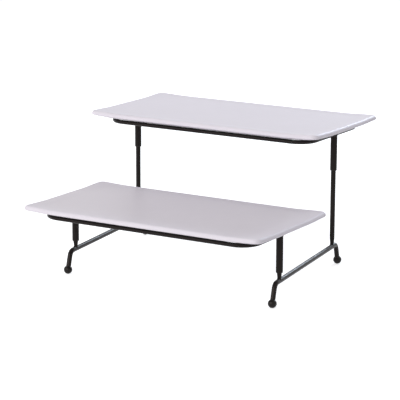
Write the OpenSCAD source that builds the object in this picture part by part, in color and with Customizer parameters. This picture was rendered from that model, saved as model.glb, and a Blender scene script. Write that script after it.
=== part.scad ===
// Tiered buffet stand: two white platters on wire racks, carried by two bent-rod side frames.
// Millimetres, +Z up. X runs along the platters and Y from the low front tier to the high rear tier.
// The origin is on the table, under the middle of the whole stand. The sleeves turn on the posts, and the
// stand is drawn with its side frames a little out of square to the racks.

/* [Platters] */
// Length of a platter over its edge
platter_length = 371; // [330:1:400]
// Width of a platter over its edge
platter_width = 192; // [165:1:200]
// Radius of a platter's corners, seen from above
platter_corner_r = 10; // [8:0.5:16]
// Height of a platter, from the bottom of its foot to the crest of its edge
platter_height = 14.9; // [13.5:0.1:17]
// Height of the thick edge, from its crest to its underside
edge_height = 6.4; // [5:0.1:7]
// How far in from the edge its crest lies
edge_roll = 4.5; // [3:0.5:8]
// Radius at which the edge turns under
edge_r = 1.8; // [1.2:0.1:2.2]
// Depth of the flat top under the crest of the edge
well_depth = 1; // [0.6:0.1:1.6]
// Thickness of the floor
floor_thickness = 5.5; // [4.5:0.1:6.5]
// Width of the flat that the foot ring stands on
foot_width = 3; // [2:0.1:4]
// How far the edge turns up at each corner
corner_lift = 1.6; // [0:0.1:2]
// Length over which the edge rises to a corner
corner_reach = 55; // [40:1:60]

/* [Racks] */
// Diameter of the wire that a rack is bent from
wire_d = 6; // [5:0.1:7.5]
// Height of the front rack's wire, at its axis
front_rack_z = 94.1; // [85:0.1:120]
// How much higher the rear rack stands
tier_rise = 98.8; // [80:0.1:130]
// Height of a platter's crest over the axis of its rack's wire
crest_rise = 13.6; // [12.8:0.1:14.2]
// Distance from a platter's long edge to the wire that carries it
side_inset = 15.5; // [12:0.1:17]
// Distance from a platter's short edge to the wire that carries it
end_inset = 22; // [18:0.5:30]
// Radius of a rack's corners, at the wire's axis
rack_corner_r = 26; // [18:0.5:28]
// Outside diameter of the sleeves under a rack
sleeve_d = 9.6; // [9:0.1:11]
// Depth of the sleeves under the axis of a rack's wire
sleeve_drop = 51.7; // [40:0.1:56]

/* [Side frames] */
// Angle by which the side frames stand turned against the racks
swivel = 7.3; // [-20:0.1:20]
// Distance between the front and the rear post of a side frame
post_spacing = 203.5; // [195:0.5:220]
// Diameter of the rod that a base is bent from
rod_d = 7; // [6:0.1:8]
// Height of a base rod over the table, at its axis
rod_height = 30.8; // [28:0.1:34]
// Diameter of the posts
post_d = 7; // [6:0.1:7.2]
// Diameter of a post where it is pinched on to the base rod
post_foot_d = 4.4; // [3.6:0.1:5.4]
// Length of a post's pinched foot, over the base rod's axis
post_taper = 12.2; // [9:0.1:16]
// Distance from a front post to the corner of the base rod's bend
front_overhang = 15.5; // [13:0.5:24]
// Distance from a rear post to the corner of the base rod's bend
rear_overhang = 15.5; // [13:0.5:26]
// How far a leg leans outwards on its way to the ball
leg_spread = 8.5; // [4:0.5:12]
// Radius of the bend from base rod to leg, at the rod's axis
bend_r = 9; // [7:0.5:10]
// Diameter of the ball feet
ball_d = 12; // [10:0.1:14]

/* [Fits and welds] */
// Radial running clearance of a post in its sleeve
sleeve_clearance = 0.1; // [0.05:0.01:0.1]
// Gap between pieces that rest on each other and move apart
seat_gap = 0.3; // [0.2:0.05:0.4]
// Thickness of the weld bead round a sleeve
sleeve_bead_d = 2.4; // [1.6:0.1:3]
// Thickness of the weld bead round a post's foot
foot_bead_d = 2.2; // [1.8:0.1:2.6]

/* [Hidden] */
$fn = 48;

LEFT = -1;
MIDDLE = 0;
RIGHT = 1;
FRONT = -1;
REAR = 1;
CHARCOAL = "#2b2a2c";
PORCELAIN = "#dedbe4";

// Places of the tiers, posts and racks
rear_rack_z = front_rack_z + tier_rise;
rack_half_length = platter_length / 2 - end_inset;
rack_half_width = platter_width / 2 - side_inset;

// The side frames lie along Y in their own axes, turned by the swivel, and the racks along X
function post_y(tier) = tier * post_spacing / 2;
function frame_place(side, y, z) = [side * rack_half_length - y * sin(swivel), y * cos(swivel), z];
function rack_z(tier) = tier == FRONT ? front_rack_z : rear_rack_z;
function rack_place(side, tier) = frame_place(side, post_y(tier), rack_z(tier));

// A leg leans from the corner of the bend to the middle of its ball
leg_drop = rod_height - ball_d / 2;
bend_turn = 90 - atan(leg_spread / leg_drop);
bend_tangent = bend_r * tan(bend_turn / 2);
leg_length = norm([leg_spread, leg_drop]) - bend_tangent;

// The rod is a hair thicker in its bends, and its straight stretches reach this far into them
bend_swell = 0.02;
let_in = 0.2;

function overhang(tier) = tier == FRONT ? front_overhang : rear_overhang;
function foot_y(tier) = post_y(tier) + tier * (overhang(tier) + leg_spread);

// Section of a platter, from the crest of its edge at z = 0. A point has an inset from the edge that is
// the same all round, a share of the wall's run, and a height. With that run the wall rests on the wire.
foot_height = 1;
foot_draft = 0.5;
recess_draft = 4;
foot_top_z = foot_height - platter_height;
wall_drop = -foot_top_z - edge_height;
shoulder_drop = edge_height - edge_r;
well_share = 0.6;
wall_steps = 5;
turn_steps = 3;
shoulder_steps = 8;
well_steps = 5;
seat_r = wire_d / 2 + seat_gap;

function wall_slope(inset) =
    let (across = inset - edge_r, down = crest_rise - edge_height)
    acos(seat_r / norm([across, down])) - atan(across / down);
function wall_run(inset) = wall_drop / tan(wall_slope(inset));

side_run = wall_run(side_inset);
end_run = wall_run(end_inset);
foot_corner_gain = 12;
foot_corner_r = rack_corner_r + foot_corner_gain;

section = concat(
    [
        [edge_r + foot_width + foot_draft + recess_draft, 1, -well_depth - floor_thickness],
        [edge_r + foot_width + foot_draft, 1, -platter_height],
        [edge_r + foot_draft, 1, -platter_height]
    ],
    [for (i = [wall_steps:-1:1]) [edge_r, i / wall_steps, -edge_height - wall_drop * i / wall_steps]],
    [
        for (i = [0:turn_steps])
            let (a = 90 * i / turn_steps)
            [edge_r * (1 - sin(a)), 0, -shoulder_drop - edge_r * cos(a)]
    ],
    [
        for (i = [1:shoulder_steps])
            let (a = 90 * i / shoulder_steps)
            [edge_roll * (1 - cos(a)), 0, -shoulder_drop * (1 - sin(a))]
    ],
    [
        for (i = [1:well_steps])
            [edge_roll, well_share * i / well_steps, -well_depth * (1 - cos(180 * i / well_steps)) / 2]
    ]
);

// Points of a rounded rectangle, with extra ones along its sides where the edge starts to rise
corner_steps = 7;
long_stops = [0.95, 0.9, 0.83, 0.74, 0, -0.74, -0.83, -0.9, -0.95];
short_stops = [0.9, 0.78, 0.64, 0.48, 0, -0.48, -0.64, -0.78, -0.9];

function corner_points(cx, cy, r, start) =
    [
        for (i = [0:corner_steps])
            let (a = start + 90 * i / corner_steps)
            [cx + r * cos(a), cy + r * sin(a)]
    ];
function rounded_outline(a, b, r) =
    let (cx = a - r, cy = b - r)
    concat(
        corner_points(cx, cy, r, 0), [for (s = long_stops) [s * cx, b]],
        corner_points(-cx, cy, r, 90), [for (s = short_stops) [-a, s * cy]],
        corner_points(-cx, -cy, r, 180), [for (s = long_stops) [-s * cx, -b]],
        corner_points(cx, -cy, r, 270), [for (s = short_stops) [a, -s * cy]]
    );

function smooth(t) = t * t * (3 - 2 * t);
function reach(d, half) = smooth(min(1, max(0, (abs(d) - half + corner_reach) / corner_reach)));
function corner_rise(p) = corner_lift * reach(p.x, platter_length / 2) * reach(p.y, platter_width / 2);

function section_ring(s) =
    let (
        share = s[1],
        half_l = platter_length / 2 - s[0] - share * end_run,
        half_w = platter_width / 2 - s[0] - share * side_run,
        r = platter_corner_r - s[0] + share * (foot_corner_r - platter_corner_r)
    )
    [
        for (p = rounded_outline(half_l, half_w, r))
            [p.x, p.y, s[2] + corner_rise(p) * pow(1 - min(1, share), 2)]
    ];

// Closed skin through rings of equally many points, of which the first and last are level
module skin(rings) {
    count = len(rings[0]);
    last = len(rings) - 1;
    low_middle = (last + 1) * count;
    high_middle = low_middle + 1;
    polyhedron(
        points = concat(
            [for (ring = rings) each ring],
            [[0, 0, rings[0][0].z], [0, 0, rings[last][0].z]]
        ),
        faces = concat(
            [for (k = [0:count - 1]) [low_middle, k, (k + 1) % count]],
            [for (k = [0:count - 1]) [high_middle, last * count + (k + 1) % count, last * count + k]],
            [
                for (i = [0:last - 1], k = [0:count - 1])
                    [i * count + k, (i + 1) * count + k, (i + 1) * count + (k + 1) % count]
            ],
            [
                for (i = [0:last - 1], k = [0:count - 1])
                    [i * count + k, (i + 1) * count + (k + 1) % count, i * count + (k + 1) % count]
            ]
        ),
        convexity = 6
    );
}

// Glazed porcelain platter with a nearly flat top, a thick rolled-down edge and a foot ring
module platter(tier) {
    color(PORCELAIN)
        translate(rack_place(MIDDLE, tier) + [0, 0, crest_rise])
            skin([for (s = section) section_ring(s)]);
}

// Straight piece of round bar along Y, centred on the origin
module bar_along_y(d, length) {
    rotate([90, 0, 0])
        cylinder(d = d, h = length, center = true);
}

// Rack: one wire, bent to a rectangle with round corners and closed
module ring(tier) {
    straight_x = rack_half_length - rack_corner_r;
    straight_y = rack_half_width - rack_corner_r;
    color(CHARCOAL)
        translate(rack_place(MIDDLE, tier)) {
            for (side = [LEFT, RIGHT])
                translate([side * rack_half_length, 0, 0])
                    bar_along_y(wire_d, 2 * straight_y);
            for (edge = [FRONT, REAR])
                translate([0, edge * rack_half_width, 0])
                    rotate([0, 90, 0])
                        cylinder(d = wire_d, h = 2 * straight_x, center = true);
            for (turn = [0:3])
                let (sx = turn == 0 || turn == 3 ? 1 : -1, sy = turn < 2 ? 1 : -1)
                translate([sx * straight_x, sy * straight_y, 0])
                    rotate([0, 0, 90 * turn])
                        rotate_extrude(angle = 90)
                            translate([rack_corner_r, 0])
                                circle(d = wire_d);
        }
}

// Cylinder that the rack's wire fills at a sleeve, for cutting what is fitted to it
module wire_at_sleeve() {
    bar_along_y(wire_d, 4 * sleeve_d);
}

// Sleeve: a tube whose top is cut to sit on the underside of the wire, open below for the post
module sleeve(tier, side) {
    color(CHARCOAL)
        translate(rack_place(side, tier))
            difference() {
                translate([0, 0, -sleeve_drop])
                    cylinder(d = sleeve_d, h = sleeve_drop - wire_d / 4);
                translate([0, 0, -sleeve_drop - 1])
                    cylinder(d = post_d + 2 * sleeve_clearance, h = sleeve_drop + 1);
                wire_at_sleeve();
            }
}

// Weld beads between a rack's wire and its two sleeves
module rack_welds(tier) {
    color(CHARCOAL)
        for (side = [LEFT, RIGHT])
            translate(rack_place(side, tier))
                difference() {
                    translate([0, 0, -wire_d / 2])
                        rotate_extrude()
                            translate([sleeve_d / 2, 0])
                                circle(d = sleeve_bead_d);
                    translate([0, 0, -sleeve_drop])
                        cylinder(d = sleeve_d, h = sleeve_drop + wire_d);
                    wire_at_sleeve();
                }
}

// One end of a base rod, from the end of its run at the origin: the bend and the leg let into it
module rod_end() {
    translate([0, 0, -bend_r]) {
        rotate([0, -90, 0])
            rotate_extrude(angle = bend_turn)
                translate([bend_r, 0])
                    circle(d = rod_d + bend_swell);
        rotate([-bend_turn, 0, 0])
            translate([0, -let_in, bend_r])
                rotate([-90, 0, 0])
                    cylinder(d = rod_d, h = leg_length + let_in);
    }
}

// Base rod with its two legs, bent from one piece
module base_rod(side) {
    front_run = post_spacing / 2 + front_overhang - bend_tangent;
    rear_run = post_spacing / 2 + rear_overhang - bend_tangent;
    color(CHARCOAL)
        translate(frame_place(side, 0, rod_height))
            rotate([0, 0, swivel]) {
                translate([0, -front_run - let_in, 0])
                    rotate([-90, 0, 0])
                        cylinder(d = rod_d, h = front_run + rear_run + 2 * let_in);
                translate([0, -front_run, 0])
                    mirror([0, 1, 0])
                        rod_end();
                translate([0, rear_run, 0])
                    rod_end();
            }
}

// Ball foot, bored for the end of its leg, which reaches its middle
module ball_foot(side, tier) {
    color(CHARCOAL)
        translate(frame_place(side, foot_y(tier), ball_d / 2))
            rotate([0, 0, swivel])
                difference() {
                    sphere(d = ball_d);
                    rotate([tier * atan(leg_spread / leg_drop), 0, 0])
                        cylinder(d = rod_d, h = ball_d);
                }
}

// Outside of a post from its foot up, standing on the base rod's axis
module post_body(height) {
    cylinder(d1 = post_foot_d, d2 = post_d, h = post_taper);
    translate([0, 0, post_taper])
        cylinder(d = post_d, h = height - post_taper);
}

// Post, pinched at its foot and cut to sit on the base rod, with its top just under the rack's wire
module post(side, tier) {
    height = rack_z(tier) - wire_d / 2 - seat_gap - rod_height;
    color(CHARCOAL)
        translate(frame_place(side, post_y(tier), rod_height))
            rotate([0, 0, swivel])
                difference() {
                    post_body(height);
                    bar_along_y(rod_d, 4 * post_d);
                }
}

// Weld beads between a side frame's base rod and its two posts
module frame_welds(side) {
    color(CHARCOAL)
        for (tier = [FRONT, REAR])
            translate(frame_place(side, post_y(tier), rod_height))
                rotate([0, 0, swivel])
                    difference() {
                        translate([0, 0, rod_d / 2])
                            rotate_extrude()
                                translate([post_foot_d / 2, 0])
                                    circle(d = foot_bead_d);
                        post_body(2 * post_taper);
                        bar_along_y(rod_d, 4 * post_d);
                    }
}

platter(FRONT);  // lower_platter
platter(REAR);  // upper_platter
ring(FRONT);  // lower_ring
sleeve(FRONT, LEFT);  // lower_left_sleeve
sleeve(FRONT, RIGHT);  // lower_right_sleeve
rack_welds(FRONT);  // lower_rack_welds
ring(REAR);  // upper_ring
sleeve(REAR, LEFT);  // upper_left_sleeve
sleeve(REAR, RIGHT);  // upper_right_sleeve
rack_welds(REAR);  // upper_rack_welds
base_rod(LEFT);  // left_base_rod
post(LEFT, FRONT);  // left_front_post
post(LEFT, REAR);  // left_rear_post
ball_foot(LEFT, FRONT);  // left_front_foot
ball_foot(LEFT, REAR);  // left_rear_foot
frame_welds(LEFT);  // left_frame_welds
base_rod(RIGHT);  // right_base_rod
post(RIGHT, FRONT);  // right_front_post
post(RIGHT, REAR);  // right_rear_post
ball_foot(RIGHT, FRONT);  // right_front_foot
ball_foot(RIGHT, REAR);  // right_rear_foot
frame_welds(RIGHT);  // right_frame_welds
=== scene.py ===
"""Tiered buffet stand for a table: two glazed platters in wire racks, on two bent-rod side frames.

Metres, +Z up. X runs along the platters and Y from the low front tier to the high rear tier.
"""

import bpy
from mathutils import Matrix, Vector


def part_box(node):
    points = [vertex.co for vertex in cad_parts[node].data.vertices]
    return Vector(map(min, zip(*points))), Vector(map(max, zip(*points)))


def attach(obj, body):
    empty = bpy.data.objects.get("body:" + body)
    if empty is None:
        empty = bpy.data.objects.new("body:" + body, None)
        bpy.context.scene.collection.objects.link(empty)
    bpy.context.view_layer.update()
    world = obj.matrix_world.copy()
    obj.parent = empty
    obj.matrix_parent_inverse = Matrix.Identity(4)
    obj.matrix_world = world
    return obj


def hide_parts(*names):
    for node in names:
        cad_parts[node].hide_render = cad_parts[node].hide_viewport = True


bl_info = {
    "name": "Tiered Buffet Stand",
    "version": (1, 0, 0),
    "blender": (4, 5, 0),
    "location": "View3D > Sidebar > Buffet Stand",
    "description": "Glazed platters in wire racks whose sleeves turn on the posts of two side frames",
    "category": "Add Mesh",
}

from math import acos, atan, atan2, cos, hypot, pi, radians, sin, sqrt, tan

import bmesh
import bpy
from bpy.props import FloatProperty, FloatVectorProperty, PointerProperty
from mathutils import Matrix, Vector

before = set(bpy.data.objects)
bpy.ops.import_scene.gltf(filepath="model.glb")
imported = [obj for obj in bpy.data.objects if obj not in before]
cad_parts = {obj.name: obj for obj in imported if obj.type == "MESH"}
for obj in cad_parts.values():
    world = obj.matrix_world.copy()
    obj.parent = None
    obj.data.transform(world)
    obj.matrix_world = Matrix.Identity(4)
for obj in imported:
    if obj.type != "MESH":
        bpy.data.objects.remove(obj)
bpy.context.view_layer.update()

TIERS = ("lower", "upper")
SIDES = ("left", "right")
POSTS = ("front", "rear")
SHARP_EDGE = radians(50)

# Mean value of a noise texture
NOISE_MIDDLE = 0.5

WHITE = (1.0, 1.0, 1.0)
DAYLIGHT = (0.72, 0.84, 1.0)
WARM_REFLECTION = (1.0, 0.9, 0.84)

# Place, size and colour of each lamp, whose power is in the stage's settings
LAMPS = {
    "overhead": ((-0.4, 0.5, 2.4), (2.2, 1.6), WHITE),
    "front": ((-0.5, -2.4, 1.1), (2.4, 1.4), WHITE),
    "rear": ((-0.05, 2.1, 1.15), (0.9, 0.5), DAYLIGHT),
}
LAMP_AIM = (0, 0, 0.1)


def box_size(node):
    low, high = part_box(node)
    return high - low


def box_middle(node):
    low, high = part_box(node)
    return (low + high) / 2


# Sizes and colours that a user would change


def length_property(name, description, default):
    return FloatProperty(
        name=name, description=description, default=default, min=0.0, unit="LENGTH", precision=5
    )


def colour_property(name, description, default):
    return FloatVectorProperty(
        name=name, description=description, default=default, min=0.0, max=1.0, subtype="COLOR"
    )


def share_property(name, description, default):
    return FloatProperty(
        name=name, description=description, default=default, min=0.0, max=1.0, subtype="FACTOR"
    )


def angle_property(name, description, default):
    return FloatProperty(name=name, description=description, default=default, unit="ROTATION")


def power_property(name, default):
    return FloatProperty(
        name=name, description="Power of the lamp", default=default, min=0.0, unit="POWER"
    )


class PlatterSettings(bpy.types.PropertyGroup):
    length: length_property("Length", "Length over the edge", box_size("lower_platter").x)
    width: length_property("Width", "Width over the edge", box_size("lower_platter").y)
    corner_radius: length_property("Corner radius", "Radius of the corners from above", 0.010)
    height: length_property("Height", "From the foot to the crest of the edge", 0.0149)
    edge_height: length_property("Edge height", "From the crest of the edge to its underside", 0.0064)
    edge_roll: length_property("Edge roll", "How far in from the edge its crest lies", 0.0045)
    edge_radius: length_property("Edge radius", "Radius at which the edge turns under", 0.0018)
    well_depth: length_property("Well depth", "Depth of the flat top under the crest", 0.001)
    floor: length_property("Floor", "Thickness of the floor", 0.0055)
    foot_height: length_property("Foot height", "Height of the foot ring under the wall", 0.001)
    foot_width: length_property("Foot width", "Width of the flat that the foot stands on", 0.003)
    foot_draft: length_property("Foot draft", "Slope on the outside of the foot ring", 0.0005)
    recess_draft: length_property("Recess draft", "Slope on the inside of the foot ring", 0.004)
    corner_lift: length_property("Corner lift", "How far the edge turns up at a corner", 0.00156)
    corner_reach: length_property("Corner reach", "Length over which the edge rises", 0.055)
    crest_rise: length_property("Crest rise", "Height of the crest over the axis of the wire", 0.0136)
    side_inset: length_property("Side inset", "From the long edge to the wire", 0.0155)
    end_inset: length_property("End inset", "From the short edge to the wire", 0.022)
    well_share: share_property("Well share", "Reach of the well's slope against the wall's", 0.6)
    glaze: colour_property("Glaze", "Colour of the glaze on the flat top", (0.745, 0.695, 0.76))
    # The edge's colour is a painted highlight: the glaze made lighter where the rolled edge faces the
    # lamps
    edge_highlight: colour_property("Edge highlight", "Colour of the glaze on the edge", (0.87, 0.815, 0.885))
    biscuit: colour_property("Biscuit", "Colour of the bare foot ring", (0.7, 0.66, 0.62))
    roughness: share_property("Glaze roughness", "Roughness of the glaze", 0.38)


class RackSettings(bpy.types.PropertyGroup):
    wire: length_property("Wire", "Diameter of the wire", box_size("lower_ring").z)
    corner_radius: length_property("Corner radius", "Radius of the bends at the axis", 0.026)
    sleeve: length_property("Sleeve", "Outside diameter of a sleeve", box_size("lower_left_sleeve").x)
    bore: length_property("Bore", "Inside diameter of a sleeve", 0.0072)
    lip: length_property("Lip", "Radius of a sleeve's rounded lower edge", 0.0006)
    bead: length_property("Bead", "Thickness of the weld bead at a sleeve", 0.0022)
    seam: length_property("Seam", "Height of the ground butt seam in the wire", 0.00012)
    coat: colour_property("Coat", "Colour of the coat on wire and rods", (0.015, 0.012, 0.012))
    roughness: share_property("Coat roughness", "Roughness of the coat on wire and rods", 0.3)
    wire_shine: share_property("Wire shine", "Strength of reflections on the wire", 0.12)
    rod_shine: share_property("Rod shine", "Strength of reflections on the base rods", 0.15)


class SideFrameSettings(bpy.types.PropertyGroup):
    rod: length_property("Rod", "Diameter of the base rod", 0.007)
    rod_height: length_property("Rod height", "Height of the base rod at its axis", 0.0308)
    bend_radius: length_property("Bend radius", "Radius of the bend into a leg", 0.009)
    overhang: length_property("Overhang", "From a post to the bend of the base rod beside it", 0.0155)
    leg_spread: length_property("Leg spread", "How far a leg leans outwards", 0.0085)
    post: length_property("Post", "Diameter of a post", 0.007)
    pinch: length_property("Pinch", "Diameter of a post where it meets the rod", 0.0044)
    taper: length_property("Taper", "Length of a post's pinched foot", 0.0122)
    ball: length_property("Ball", "Diameter of a ball foot", box_size("left_front_foot").x)
    bead: length_property("Bead", "Thickness of the weld bead at a post's foot", 0.0019)
    post_coat: colour_property("Post coat", "Colour of the posts and sleeves", (0.013, 0.011, 0.0105))
    ball_coat: colour_property("Ball coat", "Colour of the ball feet", (0.01, 0.009, 0.009))
    post_roughness: share_property("Post roughness", "Roughness of the posts and sleeves", 0.4)
    ball_roughness: share_property("Ball roughness", "Roughness of the ball feet", 0.3)
    post_shine: share_property("Post shine", "Strength of reflections on posts and sleeves", 0.12)
    ball_shine: share_property("Ball shine", "Strength of reflections on the ball feet", 0.2)
    rubbing: share_property("Rubbing", "How far the sleeves' lower edges are rubbed", 0.5)


class StageSettings(bpy.types.PropertyGroup):
    camera_place: FloatVectorProperty(
        name="Camera",
        description="Where the camera stands",
        default=(1.3192, -2.196, 0.6841),
        unit="LENGTH",
    )
    yaw: angle_property("Yaw", "Turn to the left", 0.5434)
    pitch: angle_property("Pitch", "Tilt down", 0.2243)
    roll: angle_property("Roll", "Turn about the view", 0.0037)
    lens: FloatProperty(name="Lens", description="Focal length", default=168.2, unit="CAMERA")
    floor: colour_property("Floor", "Colour of the floor", (0.8, 0.8, 0.8))
    glow: share_property("Floor glow", "Light that the floor adds to its own shade in the view", 0.7)
    sky: share_property("Sky", "Strength of the even light from all round", 0.36)
    overhead: power_property("Overhead lamp", 12.0)
    front: power_property("Front lamp", 34.0)
    rear: power_property("Rear lamp", 21.0)


# Shader maths and materials


class Signal:
    """One number of a material's node tree that can be used in a Python expression."""

    def __init__(self, tree, socket):
        self.tree = tree
        self.socket = socket

    def _math(self, operation, *values):
        made = self.tree.nodes.new("ShaderNodeMath")
        made.operation = operation
        for slot, value in zip(made.inputs, values):
            if isinstance(value, Signal):
                self.tree.links.new(value.socket, slot)
            else:
                slot.default_value = value
        return Signal(self.tree, made.outputs[0])

    def __add__(self, other):
        return self._math("ADD", self, other)

    __radd__ = __add__

    def __mul__(self, other):
        return self._math("MULTIPLY", self, other)

    __rmul__ = __mul__

    def __sub__(self, other):
        return self._math("SUBTRACT", self, other)

    def __rsub__(self, other):
        return self._math("SUBTRACT", other, self)

    def clamped(self):
        return self._math("MAXIMUM", self._math("MINIMUM", self, 1.0), 0.0)


class NodeTree:
    """A node tree under construction."""

    def __init__(self, tree):
        self.tree = tree

    def node(self, kind, settings=None, **sockets):
        made = self.tree.nodes.new(kind)
        for key, value in (settings or {}).items():
            setattr(made, key, value)
        self.fill(made, **sockets)
        return made

    def fill(self, node, **sockets):
        """Feeds a node's sockets, whose names are given with underscores for spaces."""
        for key, value in sockets.items():
            self.feed(node.inputs[key.replace("_", " ")], value)

    def feed(self, slot, value):
        if isinstance(value, Signal):
            value = value.socket
        if isinstance(value, bpy.types.NodeSocket):
            self.tree.links.new(value, slot)
        else:
            slot.default_value = value

    def in_sight(self):
        """One for what is seen directly, mirrored or through glass, and zero for other light."""
        rays = self.node("ShaderNodeLightPath").outputs
        seen, mirrored, through = (
            Signal(self.tree, rays[f"Is {kind} Ray"]) for kind in ("Camera", "Glossy", "Transmission")
        )
        return (seen + mirrored + through).clamped()


class Finish(NodeTree):
    """A node material under construction, on a Principled BSDF."""

    def __init__(self, name):
        self.material = bpy.data.materials.new(name)
        self.material.use_nodes = True
        super().__init__(self.material.node_tree)
        self.surface = self.tree.nodes["Principled BSDF"]
        self.place = self.node("ShaderNodeTexCoord").outputs["Object"]

    def noise(self, scale, detail, roughness=0.5):
        made = self.node(
            "ShaderNodeTexNoise", Vector=self.place, Scale=scale, Detail=detail, Roughness=roughness
        )
        return Signal(self.tree, made.outputs[0])

    def attribute(self, name):
        made = self.node("ShaderNodeAttribute", {"attribute_name": name})
        return Signal(self.tree, made.outputs["Fac"])

    def mixed(self, share, first, second):
        made = self.node("ShaderNodeMix", {"data_type": "RGBA"})
        colours = [slot for slot in made.inputs if slot.type == "RGBA"]
        self.feed(made.inputs[0], share)
        self.feed(colours[0], first)
        self.feed(colours[1], second)
        return next(slot for slot in made.outputs if slot.type == "RGBA")

    def clouded(self, share, colour, darkest, lightest):
        """A colour that is varied between two of its own shades."""
        return self.mixed(share, opaque(colour, darkest), opaque(colour, lightest))

    def relief(self, height, depth):
        bump = self.node("ShaderNodeBump", Height=height, Distance=depth, Strength=1.0)
        self.fill(self.surface, Normal=bump.outputs[0])


def opaque(colour, gain=1.0):
    return (*(min(1.0, part * gain) for part in colour), 1.0)


def glazed_porcelain(platters):
    """White porcelain: a satin glaze with a painted highlight on the rolled edge, and a bare foot ring.
    """
    wave_dulling, edge_dulling, bare_dulling = 0.08, 0.2, 0.5
    wave_relief, grain_relief, relief_depth = 0.5, 0.6, 0.00012
    glaze_ior = 1.52
    finish = Finish("white_porcelain")
    # Share of the painted highlight on the rolled edge
    edge = finish.attribute("edge")
    bare = finish.attribute("bare")
    pooling = finish.noise(scale=14.0, detail=3.0)
    waviness = finish.noise(scale=95.0, detail=2.0)
    grain = finish.noise(scale=2600.0, detail=3.0)
    glaze = finish.clouded(pooling, platters.glaze, darkest=0.975, lightest=1.02)
    # Painted highlight: the glaze turns to a lighter copy of itself on the rolled edge
    glazed = finish.mixed(edge, glaze, opaque(platters.edge_highlight))
    biscuit = finish.clouded(grain, platters.biscuit, darkest=0.9, lightest=1.08)
    glazed_roughness = platters.roughness + wave_dulling * (waviness - NOISE_MIDDLE)
    finish.fill(
        finish.surface,
        Base_Color=finish.mixed(bare, glazed, biscuit),
        Roughness=glazed_roughness + edge * edge_dulling + bare * bare_dulling,
        IOR=glaze_ior,
    )
    finish.relief(waviness * wave_relief + bare * grain * grain_relief, relief_depth)
    return finish.material


def black_coat(name, colour, roughness, shine, rubbing=0.0):
    """Black stoved coat on steel: a fine orange peel, slight clouding, and dull rubs on worn edges."""
    cloud_dulling, peel_depth = 0.14, 0.00003
    rub_contrast, rub_threshold, rub_lightening, rub_dulling = 4.0, 1.6, 5.0, 0.12
    finish = Finish(name)
    peel = finish.noise(scale=1500.0, detail=2.0)
    clouding = finish.noise(scale=60.0, detail=3.0)
    rubs = finish.noise(scale=700.0, detail=3.0, roughness=0.65)
    coat = finish.clouded(clouding, colour, darkest=0.8, lightest=1.25)
    worn = finish.attribute("worn") * (rubs * rub_contrast - rub_threshold).clamped() * rubbing
    clouded_roughness = roughness + cloud_dulling * (clouding - NOISE_MIDDLE)
    finish.fill(
        finish.surface,
        Base_Color=finish.mixed(worn, coat, opaque(colour, rub_lightening)),
        Roughness=clouded_roughness + worn * rub_dulling,
        Specular_IOR_Level=shine,
        Specular_Tint=opaque(WARM_REFLECTION),
    )
    finish.relief(peel, peel_depth)
    return finish.material


# Mesh code


class Shape:
    """A mesh under construction, with values at its points that its material reads."""

    def __init__(self, *attributes):
        self.mesh = bmesh.new()
        self.layers = {name: self.mesh.verts.layers.float.new(name) for name in attributes}

    def ring(self, points, **values):
        verts = [self.mesh.verts.new(point) for point in points]
        for name, value in values.items():
            for vert in verts:
                vert[self.layers[name]] = value
        return verts

    def bridge(self, rings, closed=False):
        followers = rings[1:] + (rings[:1] if closed else [])
        for here, there in zip(rings, followers):
            count = len(here)
            for k in range(count):
                after = (k + 1) % count
                self.mesh.faces.new((here[k], here[after], there[after], there[k]))

    def cap(self, ring, middle):
        centre = self.mesh.verts.new(middle)
        for layer in self.layers.values():
            centre[layer] = ring[0][layer]
        count = len(ring)
        for k in range(count):
            self.mesh.faces.new((ring[k], ring[(k + 1) % count], centre))

    def skin(self, rings, first_middle, last_middle):
        """Faces along the rings and over both ends."""
        self.bridge(rings)
        self.cap(rings[0], first_middle)
        self.cap(rings[-1], last_middle)

    def finished(self, name, place, material):
        bmesh.ops.recalc_face_normals(self.mesh, faces=self.mesh.faces)
        data = bpy.data.meshes.new(name)
        self.mesh.to_mesh(data)
        self.mesh.free()
        data.shade_smooth()
        data.set_sharp_from_angle(angle=SHARP_EDGE)
        data.materials.append(material)
        made = bpy.data.objects.new(name, data)
        made.location = place
        bpy.context.scene.collection.objects.link(made)
        return made


def circle(radius, sides):
    return [(radius * cos(2 * pi * k / sides), radius * sin(2 * pi * k / sides)) for k in range(sides)]


def quarter_turn(steps):
    """Angles from zero to a right angle, ends included."""
    return [pi / 2 * k / steps for k in range(steps + 1)]


def swept_rings(shape, path, normal, radii, sides, closed=False):
    """Rings of a round bar along a path in a plane that has the given normal."""
    rings = []
    count = len(path)
    for k, point in enumerate(path):
        before = path[k - 1] if closed or k else path[0]
        after = path[(k + 1) % count] if closed or k < count - 1 else path[k]
        across = normal.cross((after - before).normalized())
        rings.append(shape.ring([point + across * a + normal * b for a, b in circle(radii[k], sides)]))
    return rings


def lathe(shape, profile, sides, tilt=None, **values):
    """Rings of a turned form from (radius, height) pairs, tilted by a matrix where one is given."""
    tilt = tilt or Matrix.Identity(3)
    return [
        shape.ring([tilt @ Vector((x, y, height)) for x, y in circle(radius, sides)], **values)
        for radius, height in profile
    ]


def arc(middle, radius, start, stop, steps):
    """Points of an arc as (across, up) pairs, ends included, with its angles in degrees."""
    angles = [radians(start + (stop - start) * k / steps) for k in range(steps + 1)]
    return [(middle[0] + radius * cos(a), middle[1] + radius * sin(a)) for a in angles]


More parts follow.
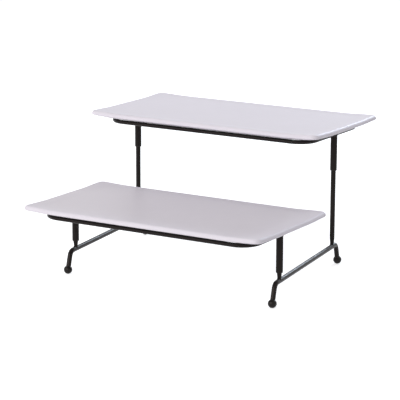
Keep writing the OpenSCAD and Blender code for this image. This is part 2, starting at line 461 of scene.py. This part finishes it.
def rounded_outline(half_length, half_width, radius, corner_steps, side_steps):
    """Points round a rectangle with round corners, as (x, y) pairs.

    The side steps are a pair, for the sides along X and for those along Y.
    """
    across, along = half_length - radius, half_width - radius
    corners = [(across, along), (-across, along), (-across, -along), (across, -along)]
    points = []
    for turn, corner in enumerate(corners):
        bend = arc(corner, radius, 90 * turn, 90 * turn + 90, corner_steps)
        points += bend
        following = corners[(turn + 1) % len(corners)]
        steps = side_steps[turn % 2]
        start = bend[-1]
        step = ((following[0] - corner[0]) / steps, (following[1] - corner[1]) / steps)
        points += [(start[0] + step[0] * k, start[1] + step[1] * k) for k in range(1, steps)]
    return points


# Pieces


def hang(piece, body, node):
    """The piece rides on its body and takes the place of its node."""
    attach(piece, body)
    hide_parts(node)


def wall_run(platters, wire, inset):
    """How far the platter's wall reaches inwards, so that it lies a small gap over the wire."""
    gap = 0.0003
    across = inset - platters.edge_radius
    down = platters.crest_rise - platters.edge_height
    slope = acos((wire / 2 + gap) / hypot(across, down)) - atan(across / down)
    return (platters.height - platters.foot_height - platters.edge_height) / tan(slope)


def platter_section(platters):
    """Section from the recess round the foot and the edge to the well.

    Each point has its inset, its share of the wall's run, its height, and how much it has of the
    painted highlight on the edge and of the bare foot.
    """
    recess_steps, wall_steps, turn_steps, shoulder_steps, well_steps = 6, 10, 10, 24, 16
    flank_draft, flank_bare = 0.4, 0.3
    edge, draft, foot = platters.edge_radius, platters.foot_draft, platters.foot_width
    inner = edge + draft + foot
    bottom = -platters.height
    wall_foot = bottom + platters.foot_height
    wall = -wall_foot - platters.edge_height
    recess = -platters.well_depth - platters.floor
    shoulder = platters.edge_height - edge
    section = []
    for a in quarter_turn(recess_steps):
        inset = inner + platters.recess_draft * (1 - sin(a))
        section.append((inset, 1, bottom + (recess - bottom) * cos(a), 0, 0))
    section += [
        (inner, 1, bottom, 0, 1),
        (edge + draft, 1, bottom, 0, 1),
        (edge + flank_draft * draft, 1, (bottom + wall_foot) / 2, 0, flank_bare),
    ]
    for k in range(wall_steps, 0, -1):
        section.append((edge, k / wall_steps, -platters.edge_height - wall * k / wall_steps, 0, 0))
    # The fourth value is the share of the painted highlight: it rises round the turn under the edge and
    # falls away over the shoulder
    for a in quarter_turn(turn_steps):
        section.append((edge * (1 - sin(a)), 0, -shoulder - edge * cos(a), sin(a), 0))
    for a in quarter_turn(shoulder_steps)[1:]:
        section.append((platters.edge_roll * (1 - cos(a)), 0, -shoulder * (1 - sin(a)), cos(a), 0))
    for k in range(1, well_steps + 1):
        t = k / well_steps
        fall = (1 - cos(pi * t)) / 2
        section.append((platters.edge_roll, platters.well_share * t, -platters.well_depth * fall, 0, 0))
    return section


def smooth(t):
    return t * t * (3 - 2 * t)


def build_platter(tier, platters, rack, glaze):
    """A platter with a nearly flat top, a thick edge that turns up at the corners, and a foot ring."""
    corner_steps, long_steps, short_steps = 18, 44, 24
    foot_corner_gain = 0.012
    length, width = platters.length / 2, platters.width / 2
    end_run = wall_run(platters, rack.wire, platters.end_inset)
    side_run = wall_run(platters, rack.wire, platters.side_inset)
    foot_corner = rack.corner_radius + foot_corner_gain

    def near_end(distance, half):
        share = (abs(distance) - half + platters.corner_reach) / platters.corner_reach
        return smooth(min(1.0, max(0.0, share)))

    # Values at the points: the share of the painted highlight on the edge, and of the bare foot
    shape = Shape("edge", "bare")
    rings = []
    for inset, share, height, edge, bare in platter_section(platters):
        outline = rounded_outline(
            length - inset - share * end_run,
            width - inset - share * side_run,
            platters.corner_radius - inset + share * (foot_corner - platters.corner_radius),
            corner_steps,
            (long_steps, short_steps),
        )
        fading = (1 - min(1, share)) ** 2
        points = [
            (x, y, height + platters.corner_lift * near_end(x, length) * near_end(y, width) * fading)
            for x, y in outline
        ]
        rings.append(shape.ring(points, edge=edge, bare=bare))
    shape.skin(rings, (0, 0, rings[0][0].co.z), (0, 0, rings[-1][0].co.z))
    middle = box_middle(f"{tier}_ring")
    place = (middle.x, middle.y, middle.z + platters.crest_rise)
    piece = shape.finished(f"{tier}_glazed_platter", place, glaze)
    hang(piece, f"{tier}_dish", f"{tier}_platter")


def build_ring(tier, rack, coat):
    """The rack's wire, bent to a closed rectangle, with a ground butt seam in its rear long side."""
    corner_steps, long_steps, short_steps, sides = 20, 60, 12, 28
    seam_width = 0.004
    node = f"{tier}_ring"
    size = box_size(node)
    half_length, half_width = (size.x - rack.wire) / 2, (size.y - rack.wire) / 2
    side_steps = (long_steps, short_steps)
    outline = rounded_outline(half_length, half_width, rack.corner_radius, corner_steps, side_steps)
    path = [Vector((x, y, 0)) for x, y in outline]

    def seam_rise(point):
        at_seam = abs(point.x) < seam_width and point.y > half_width - seam_width
        return rack.seam if at_seam else 0.0

    radii = [rack.wire / 2 + seam_rise(point) for point in path]
    shape = Shape("worn")
    shape.bridge(swept_rings(shape, path, Vector((0, 0, 1)), radii, sides, closed=True), closed=True)
    piece = shape.finished(f"{tier}_bent_wire", box_middle(node), coat)
    hang(piece, f"{tier}_rack", node)


def build_sleeve(tier, side, rack, coat):
    """A tube with rounded lower edges, whose top is cut to the underside of the wire."""
    sides, inner_steps, outer_steps = 48, 5, 8
    bury, rubbed_band, middle_height = 0.0001, 0.0012, 0.02
    node = f"{tier}_{side}_sleeve"
    low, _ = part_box(node)
    wire_z = box_middle(f"{tier}_ring").z
    bottom = low.z - wire_z
    outer, inner, wire = rack.sleeve / 2, rack.bore / 2, rack.wire / 2
    lip, inner_lip = rack.lip, rack.lip / 2
    shoulder = -wire / 2

    def top_ring(radius):
        points = []
        for x, y in circle(radius, sides):
            saddle = -sqrt(max(0.0, wire**2 - x**2)) + bury
            points.append((x, y, min(shoulder, saddle)))
        return shape.ring(points, worn=0.0)

    shape = Shape("worn")
    profile = arc((inner + inner_lip, bottom + inner_lip), inner_lip, 180, 270, inner_steps)
    profile += arc((outer - lip, bottom + lip), lip, 270, 360, outer_steps)
    outside = [(outer, bottom + lip + rubbed_band), (outer, bottom + middle_height)]
    rings = [top_ring(inner)]
    rings += lathe(shape, [(inner, bottom + middle_height)], sides, worn=0.0)
    rings += lathe(shape, profile, sides, worn=1.0)
    rings += lathe(shape, outside, sides, worn=0.0)
    rings.append(top_ring(outer))
    shape.bridge(rings, closed=True)
    middle = box_middle(node)
    piece = shape.finished(f"{tier}_{side}_tube", (middle.x, middle.y, wire_z), coat)
    hang(piece, f"{tier}_rack", node)


def lay_bead(shape, line, radius, ripples, shift):
    """Lays a rippled weld bead along a closed line round the origin, and shifts it to its place."""
    sides, ripple_depth, ripple_sharpness = 12, 0.1, 3
    count = len(line)
    rings = []
    for k, point in enumerate(line):
        along = (line[(k + 1) % count] - line[k - 1]).normalized()
        out = Vector((point.x, point.y, 0)).normalized()
        up = along.cross(out).normalized()
        out = up.cross(along)
        puddle = radius * (1 - ripple_depth * abs(sin(pi * ripples * k / count)) ** ripple_sharpness)
        rings.append(shape.ring([point + out * a + up * b for a, b in circle(puddle, sides)]))
    shape.bridge(rings, closed=True)
    for ring in rings:
        for vert in ring:
            vert.co += shift


def build_rack_welds(tier, rack, coat):
    """Beads that run round each sleeve's top, along its cut and over the shoulders beside the wire."""
    steps, ripples = 96, 16
    narrowing, shoulder_share = 0.86, 0.4
    wire, outer, bead = rack.wire / 2, rack.sleeve / 2, rack.bead / 2
    middle = box_middle(f"{tier}_ring")
    line = []
    for k in range(steps):
        a = 2 * pi * k / steps
        x, y = narrowing * outer * cos(a), outer * sin(a)
        line.append(Vector((x, y, -sqrt(max(wire**2 - x**2, (shoulder_share * wire) ** 2)))))
    shape = Shape("worn")
    for side in SIDES:
        post = box_middle(f"{tier}_{side}_sleeve")
        lay_bead(shape, line, bead, ripples, Vector((post.x - middle.x, post.y - middle.y, 0)))
    piece = shape.finished(f"{tier}_rack_beads", middle, coat)
    hang(piece, f"{tier}_rack", f"{tier}_rack_welds")


def post_places(side):
    """Places of a side frame's front and rear post in plan."""
    return [box_middle(f"{side}_{post}_post").xy for post in POSTS]


def post_reach(side):
    """From a side frame's middle to each of its posts."""
    front, rear = post_places(side)
    return (rear - front).length / 2


def set_in_frame(piece, side, frames):
    """Puts a piece that is drawn about its side frame's middle into its place."""
    front, rear = post_places(side)
    along = rear - front
    middle = (front + rear) / 2
    piece.location = (middle.x, middle.y, frames.rod_height)
    piece.rotation_euler = (0, 0, atan2(-along.x, along.y))


def leg_path(frames, direction, corner_y):
    """Points from the end of the run round the bend to the middle of the ball, as (y, z) pairs."""
    steps = 14
    radius = frames.bend_radius
    drop = frames.rod_height - frames.ball / 2
    turn = pi / 2 - atan(frames.leg_spread / drop)
    start = corner_y - direction * (radius * tan(turn / 2))
    angles = [turn * k / steps for k in range(steps + 1)]
    bend = [(start + direction * radius * sin(a), -radius * (1 - cos(a))) for a in angles]
    foot = (corner_y + direction * frames.leg_spread, -drop)
    middle = ((bend[-1][0] + foot[0]) / 2, (bend[-1][1] + foot[1]) / 2)
    return bend + [middle, foot]


def build_base_rod(side, frames, coat):
    """One rod: a straight run under both posts, bent down at each end to a leg."""
    run_steps, sides = 12, 32
    reach = post_reach(side)
    front_leg = leg_path(frames, -1, -reach - frames.overhang)
    rear_leg = leg_path(frames, 1, reach + frames.overhang)
    front_end, rear_end = front_leg[0][0], rear_leg[0][0]
    run = [(front_end + (rear_end - front_end) * k / run_steps, 0.0) for k in range(1, run_steps)]
    path = [Vector((0, y, z)) for y, z in front_leg[::-1] + run + rear_leg]
    shape = Shape("worn")
    rings = swept_rings(shape, path, Vector((1, 0, 0)), [frames.rod / 2] * len(path), sides)
    shape.skin(rings, path[0], path[-1])
    piece = shape.finished(f"{side}_bent_rod", (0, 0, 0), coat)
    set_in_frame(piece, side, frames)
    hang(piece, f"{side}_frame", f"{side}_base_rod")


def post_radius(frames, height):
    """Radius of a post at a height over the rod's axis: pinched at its foot, with a soft shoulder."""
    soft = 0.0022
    pinch, full = frames.pinch / 2, frames.post / 2
    slope = (full - pinch) / frames.taper
    past = height - frames.taper
    if past < -soft:
        return pinch + slope * height
    if past > soft:
        return full
    return full - slope * (soft - past) ** 2 / (4 * soft)


def build_post(side, post, frames, coat):
    """A post with a rounded top, pinched at its foot where it is welded to the rod."""
    sides, foot_steps, top_steps = 40, 20, 6
    start, past_taper, top_rounding = 0.0015, 0.004, 0.0007
    node = f"{side}_{post}_post"
    _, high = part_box(node)
    top = high.z - frames.rod_height
    foot_length = frames.taper + past_taper - start
    heights = [start + foot_length * k / foot_steps for k in range(foot_steps + 1)]
    profile = [(post_radius(frames, z), z) for z in heights]
    profile += arc((frames.post / 2 - top_rounding, top - top_rounding), top_rounding, 0, 90, top_steps)
    shape = Shape("worn")
    shape.skin(lathe(shape, profile, sides), (0, 0, start), (0, 0, top))
    middle = box_middle(node)
    piece = shape.finished(f"{side}_{post}_pillar", (middle.x, middle.y, frames.rod_height), coat)
    hang(piece, f"{side}_frame", node)


def build_frame_welds(side, frames, coat):
    """Beads round the posts' feet, lying on the top of the rod."""
    steps, ripples = 64, 11
    stand_off = 0.0002
    rod = frames.rod / 2
    line = [Vector((x, y, sqrt(rod**2 - x**2))) for x, y in circle(frames.pinch / 2 + stand_off, steps)]
    reach = post_reach(side)
    shape = Shape("worn")
    for foot_y in (-reach, reach):
        lay_bead(shape, line, frames.bead / 2, ripples, Vector((0, foot_y, 0)))
    piece = shape.finished(f"{side}_foot_beads", (0, 0, 0), coat)
    set_in_frame(piece, side, frames)
    hang(piece, f"{side}_frame", f"{side}_frame_welds")


def build_ball_foot(side, post, frames, coat):
    """A ball on the end of a leg, with the coat drawn up in a small fillet where the leg goes in."""
    sides, ball_steps = 48, 28
    fillet, fillet_start = 0.0009, 0.6
    # Out from the leg and up from the ball, as shares of the fillet
    fillet_curve = ((0.24, 0.16), (0.08, 0.46), (-0.05, 0.9))
    ball, leg = frames.ball / 2, frames.rod / 2
    outwards = -1 if post == "front" else 1
    drop = frames.rod_height - ball
    lean = atan(frames.leg_spread / drop)
    meets = acos((leg + fillet_start * fillet) / ball)
    angles = [-pi / 2 + (meets + pi / 2) * k / ball_steps for k in range(1, ball_steps + 1)]
    profile = [(ball * cos(a), ball * sin(a)) for a in angles]
    shoulder = profile[-1][1]
    profile += [(leg + out * fillet, shoulder + up * fillet) for out, up in fillet_curve]
    top = profile[-1][1]
    centre = Vector((0, outwards * (post_reach(side) + frames.overhang + frames.leg_spread), -drop))
    tilt = Matrix.Rotation(outwards * lean, 3, "X")
    shape = Shape("worn")
    rings = lathe(shape, profile, sides, tilt)
    shape.skin(rings, tilt @ Vector((0, 0, -ball)), tilt @ Vector((0, 0, top)))
    bmesh.ops.translate(shape.mesh, verts=shape.mesh.verts, vec=centre)
    piece = shape.finished(f"{side}_{post}_ball", (0, 0, 0), coat)
    set_in_frame(piece, side, frames)
    hang(piece, f"{side}_frame", f"{side}_{post}_foot")


# Stage


def white_floor(stage):
    """Pale floor that shows white in the view and in reflections, and keeps the stand's shadow."""
    material = bpy.data.materials.new("pale_floor")
    material.use_nodes = True
    material.node_tree.nodes.clear()
    tree = NodeTree(material.node_tree)
    shade = tree.node("ShaderNodeBsdfDiffuse", Color=opaque(stage.floor))
    glow = tree.node("ShaderNodeEmission", Strength=tree.in_sight() * stage.glow)
    both = tree.node("ShaderNodeAddShader")
    tree.feed(both.inputs[0], shade.outputs[0])
    tree.feed(both.inputs[1], glow.outputs[0])
    tree.node("ShaderNodeOutputMaterial", Surface=both.outputs[0])
    return material


def lay_floor(stage):
    """A wide square just under the balls."""
    half, sink = 8.0, 0.0002
    shape = bmesh.new()
    corners = [(-half, -half), (half, -half), (half, half), (-half, half)]
    shape.faces.new([shape.verts.new((x, y, -sink)) for x, y in corners])
    data = bpy.data.meshes.new("floor")
    shape.to_mesh(data)
    shape.free()
    data.materials.append(white_floor(stage))
    floor = bpy.data.objects.new("floor", data)
    bpy.context.scene.collection.objects.link(floor)


def hang_lamp(name, power):
    """A soft rectangular lamp that is aimed at the stand."""
    place, size, colour = LAMPS[name]
    lamp = bpy.data.lights.new(f"{name}_lamp", "AREA")
    lamp.shape = "RECTANGLE"
    lamp.size, lamp.size_y = size
    lamp.energy = power
    lamp.color = colour
    made = bpy.data.objects.new(f"{name}_lamp", lamp)
    made.location = place
    made.rotation_euler = (Vector(LAMP_AIM) - Vector(place)).to_track_quat("-Z", "Y").to_euler()
    bpy.context.scene.collection.objects.link(made)


def light_sky(stage):
    """Even light all round, and plain white behind the floor in the view and in reflections."""
    world = bpy.data.worlds.new("studio")
    world.use_nodes = True
    bpy.context.scene.world = world
    tree = NodeTree(world.node_tree)
    strength = stage.sky + tree.in_sight() * (1.0 - stage.sky)
    tree.fill(world.node_tree.nodes["Background"], Color=opaque(WHITE), Strength=strength)


def place_camera(stage):
    pitch, yaw, roll = stage.pitch, stage.yaw, stage.roll
    forward = Vector((-sin(yaw) * cos(pitch), cos(yaw) * cos(pitch), -sin(pitch)))
    level = Vector((cos(yaw), sin(yaw), 0))
    upright = level.cross(forward)
    right = level * cos(roll) + upright * sin(roll)
    up = upright * cos(roll) - level * sin(roll)
    turn = Matrix((right, up, -forward)).transposed().to_4x4()
    data = bpy.data.cameras.new("camera")
    data.lens = stage.lens
    camera = bpy.data.objects.new("camera", data)
    camera.matrix_world = Matrix.Translation(stage.camera_place) @ turn
    bpy.context.scene.collection.objects.link(camera)
    bpy.context.scene.camera = camera


# Operators


class STAND_OT_lay_platters(bpy.types.Operator):
    """Lays the two glazed platters in their racks"""

    bl_idname = "stand.lay_platters"
    bl_label = "Lay Platters"

    def execute(self, context):
        platters, rack = context.scene.stand_platters, context.scene.stand_racks
        glaze = glazed_porcelain(platters)
        for tier in TIERS:
            build_platter(tier, platters, rack, glaze)
        return {"FINISHED"}


class STAND_OT_bend_racks(bpy.types.Operator):
    """Bends the wire of the two racks and welds it to its sleeves"""

    bl_idname = "stand.bend_racks"
    bl_label = "Bend Racks"

    def execute(self, context):
        rack = context.scene.stand_racks
        coat = black_coat("black_wire_coat", rack.coat, rack.roughness, rack.wire_shine)
        for tier in TIERS:
            build_ring(tier, rack, coat)
            build_rack_welds(tier, rack, coat)
        return {"FINISHED"}


class STAND_OT_fit_sleeves(bpy.types.Operator):
    """Fits the four sleeves under the racks and the four posts that turn in them"""

    bl_idname = "stand.fit_sleeves"
    bl_label = "Fit Sleeves and Posts"

    def execute(self, context):
        rack, frames = context.scene.stand_racks, context.scene.stand_frames
        roughness, shine = frames.post_roughness, frames.post_shine
        coat = black_coat("black_post_coat", frames.post_coat, roughness, shine, frames.rubbing)
        for side in SIDES:
            for tier in TIERS:
                build_sleeve(tier, side, rack, coat)
            for post in POSTS:
                build_post(side, post, frames, coat)
        return {"FINISHED"}


class STAND_OT_bend_base_rods(bpy.types.Operator):
    """Bends the two base rods and welds them to their posts"""

    bl_idname = "stand.bend_base_rods"
    bl_label = "Bend Base Rods"

    def execute(self, context):
        rack, frames = context.scene.stand_racks, context.scene.stand_frames
        coat = black_coat("black_rod_coat", rack.coat, rack.roughness, rack.rod_shine)
        for side in SIDES:
            build_base_rod(side, frames, coat)
            build_frame_welds(side, frames, coat)
        return {"FINISHED"}


class STAND_OT_set_ball_feet(bpy.types.Operator):
    """Sets a ball foot on each of the four legs"""

    bl_idname = "stand.set_ball_feet"
    bl_label = "Set Ball Feet"

    def execute(self, context):
        frames = context.scene.stand_frames
        coat = black_coat("black_ball_coat", frames.ball_coat, frames.ball_roughness, frames.ball_shine)
        for side in SIDES:
            for post in POSTS:
                build_ball_foot(side, post, frames, coat)
        return {"FINISHED"}


class STAND_OT_set_stage(bpy.types.Operator):
    """Lays the floor, lights it softly and places the camera"""

    bl_idname = "stand.set_stage"
    bl_label = "Set Stage"

    def execute(self, context):
        stage = context.scene.stand_stage
        lay_floor(stage)
        light_sky(stage)
        for name in LAMPS:
            hang_lamp(name, getattr(stage, name))
        place_camera(stage)
        context.scene.view_settings.view_transform = "Standard"
        return {"FINISHED"}


OPERATORS = (
    STAND_OT_lay_platters,
    STAND_OT_bend_racks,
    STAND_OT_fit_sleeves,
    STAND_OT_bend_base_rods,
    STAND_OT_set_ball_feet,
    STAND_OT_set_stage,
)
SETTINGS = {
    "stand_platters": PlatterSettings,
    "stand_racks": RackSettings,
    "stand_frames": SideFrameSettings,
    "stand_stage": StageSettings,
}


class STAND_PT_sidebar(bpy.types.Panel):
    """Steps that build the stand, and its sizes and colours"""

    bl_idname = "STAND_PT_sidebar"
    bl_label = "Tiered Buffet Stand"
    bl_space_type = "VIEW_3D"
    bl_region_type = "UI"
    bl_category = "Buffet Stand"

    def draw(self, context):
        for operator in OPERATORS:
            self.layout.operator(operator.bl_idname)
        for name, group in SETTINGS.items():
            box = self.layout.box()
            for key in group.__annotations__:
                box.prop(getattr(context.scene, name), key)


def register():
    for group in (*SETTINGS.values(), *OPERATORS, STAND_PT_sidebar):
        bpy.utils.register_class(group)
    for name, group in SETTINGS.items():
        setattr(bpy.types.Scene, name, PointerProperty(type=group))


def unregister():
    for name in SETTINGS:
        delattr(bpy.types.Scene, name)
    for group in (STAND_PT_sidebar, *reversed(OPERATORS), *SETTINGS.values()):
        bpy.utils.unregister_class(group)


def main():
    register()
    bpy.ops.stand.lay_platters()
    bpy.ops.stand.bend_racks()
    bpy.ops.stand.fit_sleeves()
    bpy.ops.stand.bend_base_rods()
    bpy.ops.stand.set_ball_feet()
    bpy.ops.stand.set_stage()


if __name__ == "__main__":
    main()
